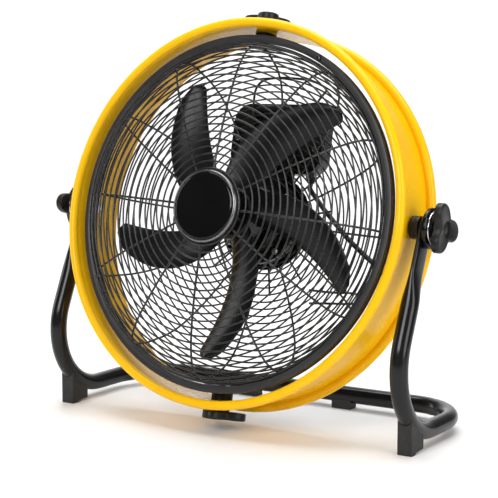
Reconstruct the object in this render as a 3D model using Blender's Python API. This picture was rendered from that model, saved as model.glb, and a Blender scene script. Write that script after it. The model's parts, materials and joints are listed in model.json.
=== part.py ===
"""Floor-standing drum air mover: a yellow drum tilting in a bent-tube stand,
with a caged fan head that swivels inside the drum. Units are metres, +Z up,
the air leaves towards -Y, the floor is z = 0 and the origin is the middle of
the footprint, ORIGIN_BACK behind the tilt axis."""
import math

import bmesh
import bpy
from mathutils import Matrix, Vector

# Driving dimensions -------------------------------------------------------
GAP = 0.0003
PIVOT_Z = 0.2685
ORIGIN_BACK = 0.0167
REST_TILT = math.radians(12.9)

DRUM_BEAD_R = 0.2440
DRUM_BEAD_RADIUS = 0.0060
DRUM_BEAD_A = 0.0425
DRUM_WALL_OUT = 0.2410
DRUM_WALL_IN = 0.2395

TUBE_R = 0.0112
LEG_X = 0.2575
LEG_FLAT = 0.0040
LEG_WIDE = 0.0142
FRONT_Y = -0.1106
REAR_Y = 0.1330
RAIL_Z = 0.0190
FRONT_BEND = 0.0850
REAR_BEND = 0.0720

BOLT_R = 0.0037
BORE_R = BOLT_R + GAP

RING_A = 0.0320
RING_OUT = 0.2290
RING_IN = 0.2196
RIM_R = 0.2176

BADGE_R = 0.0448
BADGE_A = 0.0880

BLADE_COUNT = 5
BLADE_ROOT, BLADE_TIP = 0.0320, 0.1895
BLADE_FIRST = math.radians(84.2)
BLADE_SWEEP = math.radians(37.8)
HUB_R = 0.0340

MOTOR_R = 0.0575
MOTOR_FRONT_A = -0.0100
MOTOR_BACK_A = -0.0520
BOX_X0, BOX_X1 = -0.0740, 0.0660
BOX_Z0, BOX_Z1 = 0.0660, 0.1590
BOX_A0, BOX_A1 = -0.0650, -0.0950
BOX_SKIN = 0.0025
DIAL_X, DIAL_Z = -0.0040, 0.1125
LEAD_R = 0.0033
LEAD_RUN = [Vector((0.0580, 0.0740, 0.0395)), Vector((0.0750, 0.0700, 0.0240)),
            Vector((0.0960, 0.0670, 0.0060)), Vector((0.1190, 0.0635, -0.0130)),
            Vector((0.1420, 0.0595, -0.0290))]
LEAD_EXIT = (Vector((0.1640, 0.0525, -0.0420)), Vector((0.1960, 0.0270, -0.0580)))

# Frames: the drum and everything in it turns about the pivot point --------
STAND = Matrix.Translation((0.0, -ORIGIN_BACK, 0.0))
PIVOT = STAND @ Matrix.Translation((0.0, 0.0, PIVOT_Z))
DRUM = PIVOT @ Matrix.Rotation(-REST_TILT, 4, 'X')

MATERIALS = {
    "yellow_paint": ((0.93, 0.60, 0.02), 0.22, 0.0),
    "black_paint": ((0.016, 0.016, 0.018), 0.28, 0.0),
    "black_plastic": ((0.022, 0.022, 0.024), 0.50, 0.0),
    "gloss_plastic": ((0.012, 0.012, 0.013), 0.15, 0.0),
    "charcoal_paint": ((0.050, 0.048, 0.052), 0.38, 0.0),
    "rubber": ((0.020, 0.020, 0.020), 0.80, 0.0),
    "chrome": ((0.80, 0.80, 0.82), 0.12, 1.0),
    "steel": ((0.62, 0.62, 0.64), 0.30, 1.0),
    "dark_steel": ((0.20, 0.20, 0.21), 0.42, 1.0),
    "copper": ((0.72, 0.36, 0.20), 0.38, 1.0),
    "cable": ((0.025, 0.025, 0.026), 0.60, 0.0),
}


def clear_scene():
    for obj in list(bpy.data.objects):
        bpy.data.objects.remove(obj, do_unlink=True)


def material(key):
    mat = bpy.data.materials.get(key)
    if mat is None:
        colour, rough, metal = MATERIALS[key]
        mat = bpy.data.materials.new(key)
        mat.use_nodes = True
        shader = mat.node_tree.nodes["Principled BSDF"]
        shader.inputs["Base Color"].default_value = (*colour, 1.0)
        shader.inputs["Roughness"].default_value = rough
        shader.inputs["Metallic"].default_value = metal
    return mat


def finish(name, bm, mat, frame, smooth=True):
    """Turn a bmesh into a named object standing in the given frame."""
    bmesh.ops.remove_doubles(bm, verts=bm.verts, dist=1e-7)
    bmesh.ops.recalc_face_normals(bm, faces=bm.faces)
    mesh = bpy.data.meshes.new(name)
    bm.to_mesh(mesh)
    bm.free()
    mesh.materials.append(material(mat))
    obj = bpy.data.objects.new(name, mesh)
    bpy.context.collection.objects.link(obj)
    obj.matrix_world = frame
    if smooth:
        shade(obj)
    return obj


def shade(obj, angle=math.radians(38.0)):
    """Smooth shading that keeps real corners sharp."""
    mesh = obj.data
    for poly in mesh.polygons:
        poly.use_smooth = True
    mesh.set_sharp_from_angle(angle=angle)


def grid_body(rows, wrap=False, cap=False):
    """Skin rings of points; a one-point row is a pole."""
    bm = bmesh.new()
    made = [[bm.verts.new(p) for p in row] for row in rows]
    pairs = list(zip(made[:-1], made[1:]))
    if wrap:
        pairs.append((made[-1], made[0]))
    for low, high in pairs:
        count = max(len(low), len(high))
        for i in range(count):
            j = (i + 1) % count
            if len(low) == 1:
                bm.faces.new((low[0], high[j], high[i]))
            elif len(high) == 1:
                bm.faces.new((low[i], low[j], high[0]))
            else:
                bm.faces.new((low[i], low[j], high[j], high[i]))
    if cap:
        bm.faces.new(made[0])
        bm.faces.new(made[-1])
    return bm


def fan_axis(r, a, turn):
    """Point at radius r and distance a in front of the pivot."""
    return Vector((r * math.cos(turn), -a, r * math.sin(turn)))


def side_axis(side):
    """Lathe axis along +X (side 1) or -X (side -1)."""
    return lambda r, h, turn: Vector((side * h, r * math.cos(turn), r * math.sin(turn)))


def upright_axis(side):
    """Lathe axis along +Z (side 1) or -Z (side -1)."""
    return lambda r, h, turn: Vector((r * math.cos(turn), r * math.sin(turn), side * h))


def lathe_rows(profile, axis, segments):
    rows = []
    for r, h in profile:
        if r == 0.0:
            rows.append([axis(0.0, h, 0.0)])
        else:
            rows.append([axis(r, h, math.tau * i / segments) for i in range(segments)])
    return rows


def lathe(name, profile, axis, segments, mat, frame, ring=False):
    """Solid of revolution; ring=True closes the profile on itself."""
    bm = grid_body(lathe_rows(profile, axis, segments), wrap=ring)
    return finish(name, bm, mat, frame)


def annulus(name, r_in, r_out, h0, h1, axis, mat, frame, segments=24, soft=0.0008):
    """Flat ring with softened outer edges."""
    profile = [(r_in, h0), (r_out - soft, h0), (r_out, h0 + soft)]
    profile += [(r_out, h1 - soft), (r_out - soft, h1), (r_in, h1)]
    return lathe(name, profile, axis, segments, mat, frame, ring=True)


def box_bm(lo, hi):
    bm = bmesh.new()
    bmesh.ops.create_cube(bm, size=1.0)
    for v in bm.verts:
        for k in range(3):
            v.co[k] = lo[k] if v.co[k] < 0.0 else hi[k]
    return bm


def cut(target, cutter, operation='DIFFERENCE'):
    """Apply an exact Boolean and drop the cutter."""
    mod = target.modifiers.new("cut", 'BOOLEAN')
    mod.operation = operation
    mod.solver = 'EXACT'
    mod.object = cutter
    bpy.context.view_layer.update()
    graph = bpy.context.evaluated_depsgraph_get()
    done = bpy.data.meshes.new_from_object(target.evaluated_get(graph))
    old = target.data
    target.modifiers.clear()
    target.data = done
    bpy.data.meshes.remove(old)
    bpy.data.objects.remove(cutter, do_unlink=True)
    done.name = target.name
    while len(done.materials) > 1:
        done.materials.pop()
    shade(target)


def hole(target, r, h0, h1, axis, frame, shift=Vector((0.0, 0.0, 0.0)), segments=16):
    """Cut a round hole from h0 to h1 along an axis moved sideways by shift."""
    profile = [(0.0, h0), (r, h0), (r, h1), (0.0, h1)]
    rows = [[p + shift for p in row] for row in lathe_rows(profile, axis, segments)]
    drill = finish("drill", grid_body(rows), "steel", frame)
    drill.hide_render = True
    drill.display_type = 'WIRE'
    cut(target, drill)


# Stand --------------------------------------------------------------------
def fillet(points, radii, steps=8):
    """Round the inner corners of a polyline."""
    path = [points[0]]
    for i, radius in enumerate(radii, start=1):
        into = (points[i - 1] - points[i]).normalized()
        away = (points[i + 1] - points[i]).normalized()
        angle = into.angle(away)
        start = points[i] + into * (radius / math.tan(angle / 2))
        centre = points[i] + (into + away).normalized() * (radius / math.sin(angle / 2))
        spoke = start - centre
        normal = into.cross(away).normalized()
        for k in range(steps + 1):
            turn = -(math.pi - angle) * k / steps
            path.append(centre + Matrix.Rotation(turn, 3, normal) @ spoke)
    path.append(points[-1])
    return path


def leg_direction():
    """Unit vector up the leg, from the floor bend to the pivot."""
    return Vector((0.0, -FRONT_Y, PIVOT_Z - RAIL_Z)).normalized()


def leg_stations():
    """Distances along the leg from the pivot where the section changes."""
    return [-0.0140, -0.0128, -0.0095, -0.0050, 0.0, 0.0250, 0.0520, 0.0640, 0.0760, 0.0880, 0.1000]


def stand_path():
    """Centreline from the left leg's tip, round the floor, to the right tip."""
    up = leg_direction()
    half = []
    pivot = Vector((LEG_X, 0.0, PIVOT_Z))
    for d in leg_stations():
        half.append(pivot - up * d)
    corner = Vector((LEG_X, FRONT_Y, RAIL_Z))
    rear = Vector((LEG_X, REAR_Y, RAIL_Z))
    middle = Vector((0.0, REAR_Y, RAIL_Z))
    bends = fillet([half[-1], corner, rear, middle], [FRONT_BEND, REAR_BEND])
    half += bends[1:-1]
    mirrored = [Vector((-p.x, p.y, p.z)) for p in half]
    return mirrored + [middle] + half[::-1]


def leg_section(distance):
    """Half-thickness along X and half-width along the leg's own plane."""
    if distance < 0.0:
        wide = LEG_WIDE * math.sqrt(max(0.0, 1.0 - (distance / 0.0142) ** 2))
        return LEG_FLAT, max(wide, 0.0020)
    blend = min(1.0, max(0.0, (distance - 0.0520) / 0.0480))
    blend = blend * blend * (3.0 - 2.0 * blend)
    thick = LEG_FLAT + (TUBE_R - LEG_FLAT) * blend
    wide = LEG_WIDE + (TUBE_R - LEG_WIDE) * blend
    return thick, wide


def stand_rows(grow=0.0, sides=12):
    """Rings of points along the stand; grow swells the section."""
    path = stand_path()
    count = len(path)
    stations = leg_stations()
    across = Vector((1.0, 0.0, 0.0))
    rows = []
    for i, point in enumerate(path):
        ahead = path[min(i + 1, count - 1)]
        behind = path[max(i - 1, 0)]
        tangent = (ahead - behind).normalized()
        across = (across - tangent * across.dot(tangent)).normalized()
        over = tangent.cross(across)
        end = min(i, count - 1 - i)
        distance = stations[end] if end < len(stations) else 1.0
        thick, wide = leg_section(distance)
        power = 2.0 / (2.0 + 1.4 * (TUBE_R - thick) / TUBE_R)
        row = []
        for k in range(sides):
            turn = math.tau * k / sides
            c, s = math.cos(turn), math.sin(turn)
            u = math.copysign(abs(c) ** power, c) * (thick + grow)
            v = math.copysign(abs(s) ** power, s) * (wide + grow)
            row.append(point + across * u + over * v)
        rows.append(row)
    return rows


def stand_body(name, grow=0.0):
    bm = grid_body(stand_rows(grow), cap=True)
    return finish(name, bm, "black_paint", STAND)


def build_stand_tube():
    tube = stand_body("stand_tube")
    pivot = Vector((0.0, 0.0, PIVOT_Z))
    for side in (-1, 1):
        hole(tube, BORE_R, 0.2500, 0.2650, side_axis(side), STAND, pivot)


def prism(name, outline, x0, x1, mat):
    """Extrude a (y, z) outline between two x values."""
    bm = bmesh.new()
    low = [bm.verts.new((x0, y, z)) for y, z in outline]
    high = [bm.verts.new((x1, y, z)) for y, z in outline]
    count = len(outline)
    for i in range(count):
        j = (i + 1) % count
        bm.faces.new((low[i], low[j], high[j], high[i]))
    bm.faces.new(low)
    bm.faces.new(high)
    edges = [e for e in bm.edges if abs(e.verts[0].co.x - e.verts[1].co.x) > 1e-6]
    bmesh.ops.bevel(bm, geom=edges, offset=0.0008, segments=1, affect='EDGES')
    return finish(name, bm, mat, STAND)


def front_arc_z(y):
    """Height of the tube's centreline in the front bend."""
    up = leg_direction()
    angle = math.atan2(up.z, up.y)
    centre_y = FRONT_Y + FRONT_BEND / math.tan(angle / 2)
    return RAIL_Z + FRONT_BEND - math.sqrt(FRONT_BEND ** 2 - (y - centre_y) ** 2)


def saddle(name, outline, x, half_width):
    """Foot whose top is hollowed to the tube it holds."""
    foot = prism(name, outline, x - half_width, x + half_width, "rubber")
    cut(foot, stand_body("tube_clearance", GAP))


def build_feet():
    front, heel, back = -0.0480, -0.0365, -0.0160
    tops = [(y, front_arc_z(y)) for y in (back, -0.0260, heel, front)]
    outline = [(front, 0.0), (heel, 0.0), (heel, 0.0032), (back, 0.0032)] + tops
    for label, side in (("left", -1), ("right", 1)):
        saddle("front_foot_" + label, outline, side * LEG_X, 0.0095)
    y0, y1 = REAR_Y - 0.0090, REAR_Y + 0.0090
    pad = [(y0, 0.0), (y1, 0.0), (y1, RAIL_Z), (y0, RAIL_Z)]
    for label, side in (("left", -1), ("right", 1)):
        saddle("rear_foot_" + label, pad, side * 0.0750, 0.0140)


def build_pivot_side(label, side):
    """Everything stacked on one side pivot, from the drum wall outwards."""
    axis = side_axis(side)
    bush = [(BORE_R, 0.2413), (0.0138, 0.2413), (0.0143, 0.2418)]
    bush += [(0.0143, 0.2520), (0.0133, 0.2530), (BORE_R, 0.2530)]
    lathe("pivot_bush_" + label, bush, axis, 14, "black_plastic", DRUM, ring=True)
    head = [(0.0, 0.2352), (0.0055, 0.2358), (0.0088, 0.2378), (0.0088, 0.2388)]
    shank = [(BOLT_R, 0.2388), (BOLT_R, 0.2798), (0.0, 0.2798)]
    lathe("pivot_bolt_" + label, head + shank, axis, 12, "steel", DRUM)
    collar = [(BORE_R, 0.2619), (0.0225, 0.2619), (0.0250, 0.2640)]
    collar += [(0.0250, 0.2680), (0.0235, 0.2698), (BORE_R, 0.2698)]
    lathe("pivot_collar_" + label, collar, axis, 16, "gloss_plastic", PIVOT, ring=True)
    annulus("pivot_washer_" + label, BORE_R, 0.0220, 0.2702, 0.2718, axis, "chrome", PIVOT, 16, 0.0004)


def knob_radius(turn, lobe_turn):
    """Three-lobed outline with hollow flanks."""
    wave = 0.5 + 0.5 * math.cos(3.0 * (turn - lobe_turn))
    return 0.0165 + 0.0165 * wave ** 0.9


def clamp_knob(name, axis, h0, lobe_turn, frame, depth):
    """Three-lobed clamping knob: neck, lobed body and a hollowed face."""
    count = 24
    turns = [math.tau * i / count for i in range(count)]

    def ring(r, h):
        return [axis(r, h, t) for t in turns]

    def lobes(inset, h):
        return [axis(knob_radius(t, lobe_turn) - inset, h, t) for t in turns]

    low = h0 + depth
    top = low + 0.0100
    rows = [[axis(0.0, low + 0.0035, 0.0)], ring(BORE_R, low + 0.0035), ring(BORE_R, h0)]
    rows += [ring(0.0115, h0), ring(0.0115, low), lobes(0.0, low)]
    rows += [lobes(0.0, top - 0.0022), lobes(0.0022, top)]
    rows += [ring(0.0098, top), ring(0.0090, top - 0.0030), [axis(0.0, top - 0.0030, 0.0)]]
    return finish(name, grid_body(rows), "black_plastic", frame)


def build_knobs():
    clamp_knob("tilt_knob_right", side_axis(1), 0.2722, 0.0, DRUM, 0.0045)
    clamp_knob("tilt_knob_left", side_axis(-1), 0.2722, math.pi, DRUM, 0.0045)
    clamp_knob("swivel_knob_top", upright_axis(1), 0.2420, math.radians(-57.0), DRUM, 0.0095)
    clamp_knob("swivel_knob_bottom", upright_axis(-1), 0.2420, math.radians(33.0), DRUM, 0.0095)


# Drum ---------------------------------------------------------------------
def bead_arc(centre_a, from_deg, to_deg, steps):
    """Points round a rolled edge, angle measured from outwards to forwards."""
    points = []
    for i in range(steps + 1):
        turn = math.radians(from_deg + (to_deg - from_deg) * i / steps)
        r = DRUM_BEAD_R + DRUM_BEAD_RADIUS * math.cos(turn)
        points.append((r, centre_a + DRUM_BEAD_RADIUS * math.sin(turn)))
    return points


def drum_profile():
    """Thin wall with a rolled bead at each end, outside first."""
    front = bead_arc(DRUM_BEAD_A, -120.0, 220.0, 8)
    rear = bead_arc(-DRUM_BEAD_A, -220.0, 120.0, 8)
    front[0] = (DRUM_WALL_OUT, front[0][1])
    front[-1] = (DRUM_WALL_IN, front[-1][1])
    rear[0] = (DRUM_WALL_IN, rear[0][1])
    rear[-1] = (DRUM_WALL_OUT, rear[-1][1])
    return front + rear


def build_drum():
    drum = lathe("drum_shell", drum_profile(), fan_axis, 48, "yellow_paint", DRUM, ring=True)
    for side in (-1, 1):
        hole(drum, BORE_R, 0.2300, 0.2500, side_axis(side), DRUM)
        hole(drum, BORE_R, 0.2300, 0.2500, upright_axis(side), DRUM)


# Swivel mounting of the fan head ------------------------------------------
def build_swivel_side(label, side):
    """Bracket, bolt and stand-off between the fan head and the drum."""
    axis = upright_axis(side)
    block = [(BORE_R, 0.2217), (0.0130, 0.2217), (0.0136, 0.2223)]
    block += [(0.0136, 0.2380), (0.0130, 0.2386), (BORE_R, 0.2391)]
    lathe("swivel_block_" + label, block, axis, 14, "black_plastic", DRUM, ring=True)
    head = [(0.0, 0.2138), (0.0060, 0.2142), (0.0080, 0.2156), (0.0080, 0.2184)]
    shank = [(BOLT_R, 0.2184), (BOLT_R, 0.2546), (0.0, 0.2546)]
    lathe("swivel_bolt_" + label, head + shank, axis, 12, "steel", DRUM)
    plate = [(0.0150, 0.2188), (-0.0252, 0.2188), (-0.0252, 0.2270), (-0.0230, 0.2270)]
    plate += [(-0.0230, 0.2213), (0.0150, 0.2213)]
    outline = [(y, side * z) for y, z in plate]
    bracket = prism("swivel_bracket_" + label, outline, -0.0145, 0.0145, "black_paint")
    bracket.matrix_world = DRUM
    hole(bracket, BORE_R, 0.2150, 0.2250, axis, DRUM)


# Guards -------------------------------------------------------------------
def along(profile, distance):
    """Point on a polyline profile at a given length from its start."""
    for (r0, a0), (r1, a1) in zip(profile[:-1], profile[1:]):
        step = math.hypot(r1 - r0, a1 - a0)
        if distance <= step:
            part = distance / step
            return r0 + (r1 - r0) * part, a0 + (a1 - a0) * part
        distance -= step
    return profile[-1]


def profile_length(profile):
    return sum(math.dist(p, q) for p, q in zip(profile[:-1], profile[1:]))


def guard(name, profile, rings, ribs, wire, rib_turn):
    """Dished wire guard: hoops joined by ribs, as one body of wire thickness."""
    length = profile_length(profile)
    levels = []
    for k in range(rings):
        middle = wire + (length - 2.0 * wire) * k / (rings - 1)
        levels += [middle - wire, middle + wire]
    turns = []
    for m in range(ribs):
        start = rib_turn + math.tau * m / ribs
        narrow = 2.0 * wire / 0.1200
        rest = math.tau / ribs - narrow
        turns += [start - narrow / 2, start + narrow / 2, start + narrow / 2 + rest / 2]
    bm = bmesh.new()
    rows = []
    for level in levels:
        r, a = along(profile, level)
        rows.append([bm.verts.new(fan_axis(r, a, t)) for t in turns])
    count = len(turns)
    for j in range(len(rows) - 1):
        for i in range(count):
            if j % 2 == 1 and i % 3 != 0:
                continue
            nxt = (i + 1) % count
            bm.faces.new((rows[j][i], rows[j][nxt], rows[j + 1][nxt], rows[j + 1][i]))
    body = finish(name, bm, "black_paint", DRUM)
    mod = body.modifiers.new("wire", 'SOLIDIFY')
    mod.thickness = 2.0 * wire
    mod.offset = 0.0
    mod.use_rim = True
    return body


def build_guards():
    front = [(RIM_R, 0.0345), (0.2165, 0.0430), (0.2100, 0.0540), (0.1980, 0.0640)]
    front += [(0.1750, 0.0732), (0.1400, 0.0805), (0.1000, 0.0855), (0.0640, 0.0880), (0.0472, 0.0885)]
    guard("front_guard", front, 5, 12, 0.0013, math.radians(27.0))
    rear = [(RIM_R, 0.0290), (0.2150, 0.0150), (0.2080, 0.0), (0.1970, -0.0190)]
    rear += [(0.1760, -0.0370), (0.1400, -0.0500), (0.0980, -0.0565), (0.0572, -0.0578)]
    guard("rear_guard", rear, 5, 12, 0.0013, math.radians(26.2))
    ring = [(RING_IN, 0.0262), (RING_OUT - 0.0015, 0.0262), (RING_OUT, 0.0277)]
    ring += [(RING_OUT, 0.0363), (RING_OUT - 0.0015, 0.0378), (RING_IN, 0.0378)]
    lathe("guard_ring", ring, fan_axis, 48, "charcoal_paint", DRUM, ring=True)
    turn = math.radians(62.0)
    on_ring = DRUM @ Matrix.Rotation(-turn, 4, 'Y') @ Matrix.Translation((0.2243, 0.0, 0.0))
    screw = [(0.0, 0.0412), (0.0024, 0.0408), (0.0034, 0.0396), (0.0034, 0.0381), (0.0, 0.0381)]
    lathe("ring_clamp_screw", screw, fan_axis, 16, "dark_steel", on_ring)


def build_badge():
    disc = [(0.0, BADGE_A - 0.0030), (0.0410, BADGE_A - 0.0030), (0.0425, BADGE_A)]
    disc += [(0.0425, 0.0940), (0.0400, 0.0962), (0.0250, 0.0974), (0.0, 0.0978)]
    lathe("hub_badge", disc, fan_axis, 24, "gloss_plastic", DRUM)
    trim = [(0.0428, 0.0862), (0.0466, 0.0862), (0.0466, 0.0925), (0.0452, 0.0948), (0.0428, 0.0948)]
    lathe("badge_trim_ring", trim, fan_axis, 24, "chrome", DRUM, ring=True)


# Fan ----------------------------------------------------------------------
def blade_width(u):
    """Chord from root to tip: broadest past the middle, round at the tip."""
    w = 1.0 - u
    body = 0.0420 * w ** 3 + 0.1692 * w ** 2 * u + 0.2202 * w * u ** 2 + 0.0300 * u ** 3
    ease = max(0.0, (u - 0.93) / 0.07)
    return max(0.0160, body * math.sqrt(1.0 - ease ** 2))


def blade_point(u, v, first):
    """u runs root to tip, v runs leading to trailing edge."""
    r = BLADE_ROOT + (BLADE_TIP - BLADE_ROOT) * u
    middle = first - BLADE_SWEEP * u
    pitch = math.radians(24.2 - 10.0 * u)
    offset = (v - 0.5) * blade_width(u)
    camber = 0.0025 * (1.0 - (2.0 * v - 1.0) ** 2)
    return r, 0.0266 - 0.0119 * u - offset * math.tan(pitch) + camber, middle - offset / r


def blade_body(first):
    """One blade with a constant wall thickness."""
    thick = 0.0012
    spans, chords = 8, 4
    bm = bmesh.new()
    sheets = []
    for lift in (-thick, thick):
        sheet = []
        for i in range(spans + 1):
            row = []
            for j in range(chords + 1):
                u = 1.0 - (1.0 - i / spans) ** 1.6
                r, a, turn = blade_point(u, j / chords, first)
                row.append(bm.verts.new(fan_axis(r, a + lift, turn)))
            sheet.append(row)
        sheets.append(sheet)
    for sheet in sheets:
        for i in range(spans):
            for j in range(chords):
                bm.faces.new((sheet[i][j], sheet[i + 1][j], sheet[i + 1][j + 1], sheet[i][j + 1]))
    low, high = sheets
    rim = [(i, 0) for i in range(spans + 1)]
    rim += [(spans, j) for j in range(1, chords + 1)]
    rim += [(i, chords) for i in range(spans - 1, -1, -1)]
    rim += [(0, j) for j in range(chords - 1, 0, -1)]
    for (i0, j0), (i1, j1) in zip(rim, rim[1:] + rim[:1]):
        bm.faces.new((low[i0][j0], low[i1][j1], high[i1][j1], high[i0][j0]))
    return finish("blade", bm, "black_plastic", DRUM)


def build_impeller():
    """Moulded hub and blades, one piece on the motor shaft."""
    hub = [(0.0043, 0.0380), (0.0310, 0.0380), (HUB_R, 0.0355), (HUB_R, -0.0060)]
    hub += [(0.0310, -0.0060), (0.0310, 0.0305), (0.0120, 0.0305), (0.0120, -0.0050), (0.0043, -0.0050)]
    impeller = lathe("impeller", hub, fan_axis, 20, "black_plastic", DRUM, ring=True)
    for k in range(BLADE_COUNT):
        cut(impeller, blade_body(BLADE_FIRST + math.tau * k / BLADE_COUNT), 'UNION')


def build_motor():
    """Motor with a flanged case; stator, rotor and shaft run inside it."""
    case = [(0.0113, MOTOR_FRONT_A), (0.0380, MOTOR_FRONT_A), (0.0440, -0.0140), (0.0450, -0.0200)]
    case += [(0.0450, -0.0345), (0.0565, -0.0345), (MOTOR_R, -0.0355), (MOTOR_R, MOTOR_BACK_A)]
    case += [(0.0550, MOTOR_BACK_A), (0.0550, -0.0370), (0.0425, -0.0370), (0.0425, -0.0165)]
    case += [(0.0150, -0.0165), (0.0150, -0.0190), (0.0113, -0.0190)]
    lathe("motor_housing", case, fan_axis, 20, "black_paint", DRUM, ring=True)
    annulus("stator", 0.0222, 0.0418, -0.0480, -0.0205, fan_axis, "copper", DRUM, 20)
    annulus("rotor", 0.0043, 0.0217, -0.0405, -0.0215, fan_axis, "dark_steel", DRUM, 16)
    annulus("front_bearing", 0.0043, 0.0110, -0.0188, -0.0118, fan_axis, "steel", DRUM, 14)
    annulus("rear_bearing", 0.0043, 0.0110, -0.0505, -0.0435, fan_axis, "steel", DRUM, 14)
    shaft = [(0.0, -0.0510), (0.0040, -0.0510), (0.0040, 0.0450), (0.0, 0.0450)]
    lathe("motor_shaft", shaft, fan_axis, 16, "steel", DRUM)
    nut = [(0.0, 0.0500), (0.0, 0.0455), (0.0043, 0.0455), (0.0043, 0.0383)]
    nut += [(0.0085, 0.0383), (0.0095, 0.0395), (0.0095, 0.0450), (0.0060, 0.0490)]
    rows = lathe_rows(nut, fan_axis, 14)
    finish("impeller_nut", grid_body(rows[1:] + rows[:1]), "black_plastic", DRUM)
    for k in range(4):
        turn = math.tau * k / 4 + math.radians(39.0)
        spot = Vector((0.0508 * math.cos(turn), 0.0, 0.0508 * math.sin(turn)))
        dome = [(0.0, -0.0313), (0.0028, -0.0317), (0.0040, -0.0329), (0.0040, -0.0342), (0.0, -0.0342)]
        lathe_at("case_screw_%d" % (k + 1), dome, spot, 10, "steel")


def build_motor_mount():
    """End cover and mounting plate, screwed together through the rear guard."""
    cover = [(0.0, -0.0555), (0.0565, -0.0555), (MOTOR_R, -0.0545), (MOTOR_R, -0.0523)]
    cover += [(0.0150, -0.0523), (0.0150, -0.0425), (0.0113, -0.0425), (0.0113, -0.0515), (0.0, -0.0515)]
    end = lathe("motor_end_cover", cover, fan_axis, 20, "black_paint", DRUM)
    mount = [(0.0, -0.0558), (0.0560, -0.0558), (0.0560, -0.0597), (0.0640, -0.0597)]
    mount += [(0.0640, -0.0622), (0.0, -0.0622)]
    plate = lathe("motor_mount_plate", mount, fan_axis, 20, "black_paint", DRUM)
    tab = rounded_outline(-0.0390, 0.0310, 0.0, 0.1500, 0.0080)
    cut(plate, slab("tab", tab, -0.0598, -0.0621, "steel"), 'UNION')
    for k in range(3):
        turn = math.tau * k / 3 + math.radians(30.0)
        spot = Vector((0.0500 * math.cos(turn), 0.0, 0.0500 * math.sin(turn)))
        hole(end, 0.0024, -0.0660, -0.0460, fan_axis, DRUM, spot, 10)
        hole(plate, 0.0024, -0.0660, -0.0460, fan_axis, DRUM, spot, 10)
        screw = [(0.0, -0.0655), (0.0042, -0.0648), (0.0042, -0.0625), (0.0021, -0.0625)]
        screw += [(0.0021, -0.0535), (0.0, -0.0535)]
        lathe_at("mount_screw_%d" % (k + 1), screw, spot, 8, "steel")


# Electrical pieces --------------------------------------------------------
def rounded_outline(x0, x1, z0, z1, radius, steps=3):
    """Rectangle in the fan's plane with rounded corners."""
    corners = [(x1 - radius, z1 - radius, 0), (x0 + radius, z1 - radius, 90)]
    corners += [(x0 + radius, z0 + radius, 180), (x1 - radius, z0 + radius, 270)]
    outline = []
    for cx, cz, start in corners:
        for k in range(steps + 1):
            turn = math.radians(start + 90.0 * k / steps)
            outline.append((cx + radius * math.cos(turn), cz + radius * math.sin(turn)))
    return outline


def slab(name, outline, a0, a1, mat, soft=0.0):
    """Outline in the fan's plane given a thickness; soft eases the rear edge."""
    cx = sum(x for x, z in outline) / len(outline)
    cz = sum(z for x, z in outline) / len(outline)
    levels = [(a0, 0.0), (a1 + soft, 0.0)]
    if soft > 0.0:
        levels.append((a1, soft))
    rows = []
    for a, inset in levels:
        half_x = max(abs(x - cx) for x, z in outline)
        half_z = max(abs(z - cz) for x, z in outline)
        kx, kz = 1.0 - inset / half_x, 1.0 - inset / half_z
        rows.append([Vector((cx + (x - cx) * kx, -a, cz + (z - cz) * kz)) for x, z in outline])
    return finish(name, grid_body(rows, cap=True), mat, DRUM)


def lathe_at(name, profile, spot, segments, mat):
    """Lathe about an axis parallel to the fan's, blind bore first in the profile."""
    frame = DRUM @ Matrix.Translation(spot)
    return finish(name, grid_body(lathe_rows(profile, fan_axis, segments)), mat, frame)


def build_control():
    """Control box behind the rear guard: base, hollow cover, switch, knob."""
    outer = rounded_outline(BOX_X0, BOX_X1, BOX_Z0, BOX_Z1, 0.0240, 4)
    skin = BOX_SKIN
    inner = rounded_outline(BOX_X0 + skin, BOX_X1 - skin, BOX_Z0 + skin, BOX_Z1 - skin, 0.0215, 4)
    base = slab("control_base", outer, -0.0626, -0.0647, "black_plastic")
    box = slab("control_box", outer, BOX_A0, BOX_A1, "black_plastic", 0.0060)
    cut(box, slab("inner", inner, BOX_A0 + 0.01, BOX_A1 + 0.0028, "steel", 0.0060))
    spot = Vector((DIAL_X, 0.0, DIAL_Z))
    hole(box, 0.0045, -0.1030, -0.0880, fan_axis, DRUM, spot)
    switch = [(0.0, -0.0760), (0.0110, -0.0760), (0.0110, -0.0918), (0.0040, -0.0918)]
    switch += [(0.0040, -0.1045), (0.0, -0.1045)]
    lathe_at("speed_switch", switch, spot, 14, "black_plastic")
    knob = [(0.0, -0.1050), (0.0043, -0.1050), (0.0043, -0.0955), (0.0150, -0.0955)]
    knob += [(0.0160, -0.0968), (0.0145, -0.1075), (0.0130, -0.1090), (0.0, -0.1090)]
    dial = lathe_at("speed_knob", knob, spot, 20, "black_plastic")
    at_knob = DRUM @ Matrix.Translation(spot)
    ridge = box_bm((-0.0016, 0.1075, -0.0010), (0.0016, 0.1110, 0.0125))
    cut(dial, finish("pointer", ridge, "black_plastic", at_knob), 'UNION')
    can = [(0.0, -0.0240), (0.0068, -0.0240), (0.0075, -0.0230)]
    can += [(0.0075, 0.0230), (0.0068, 0.0240), (0.0, 0.0240)]
    at_can = DRUM @ Matrix.Translation((-0.0440, 0.0790, DIAL_Z))
    lathe("run_capacitor", can, upright_axis(1), 14, "gloss_plastic", at_can)
    for label, at_x, at_z in (("left", -0.0640, 0.1120), ("right", 0.0565, 0.1000)):
        at = Vector((at_x, 0.0, at_z))
        hole(base, 0.0021, -0.0710, -0.0560, fan_axis, DRUM, at, 10)
        screw = [(0.0, -0.0595), (0.0038, -0.0602), (0.0038, -0.0623), (0.0018, -0.0623)]
        screw += [(0.0018, -0.0720), (0.0, -0.0720)]
        lathe_at("control_screw_" + label, screw, at, 10, "steel")
    return box


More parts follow.
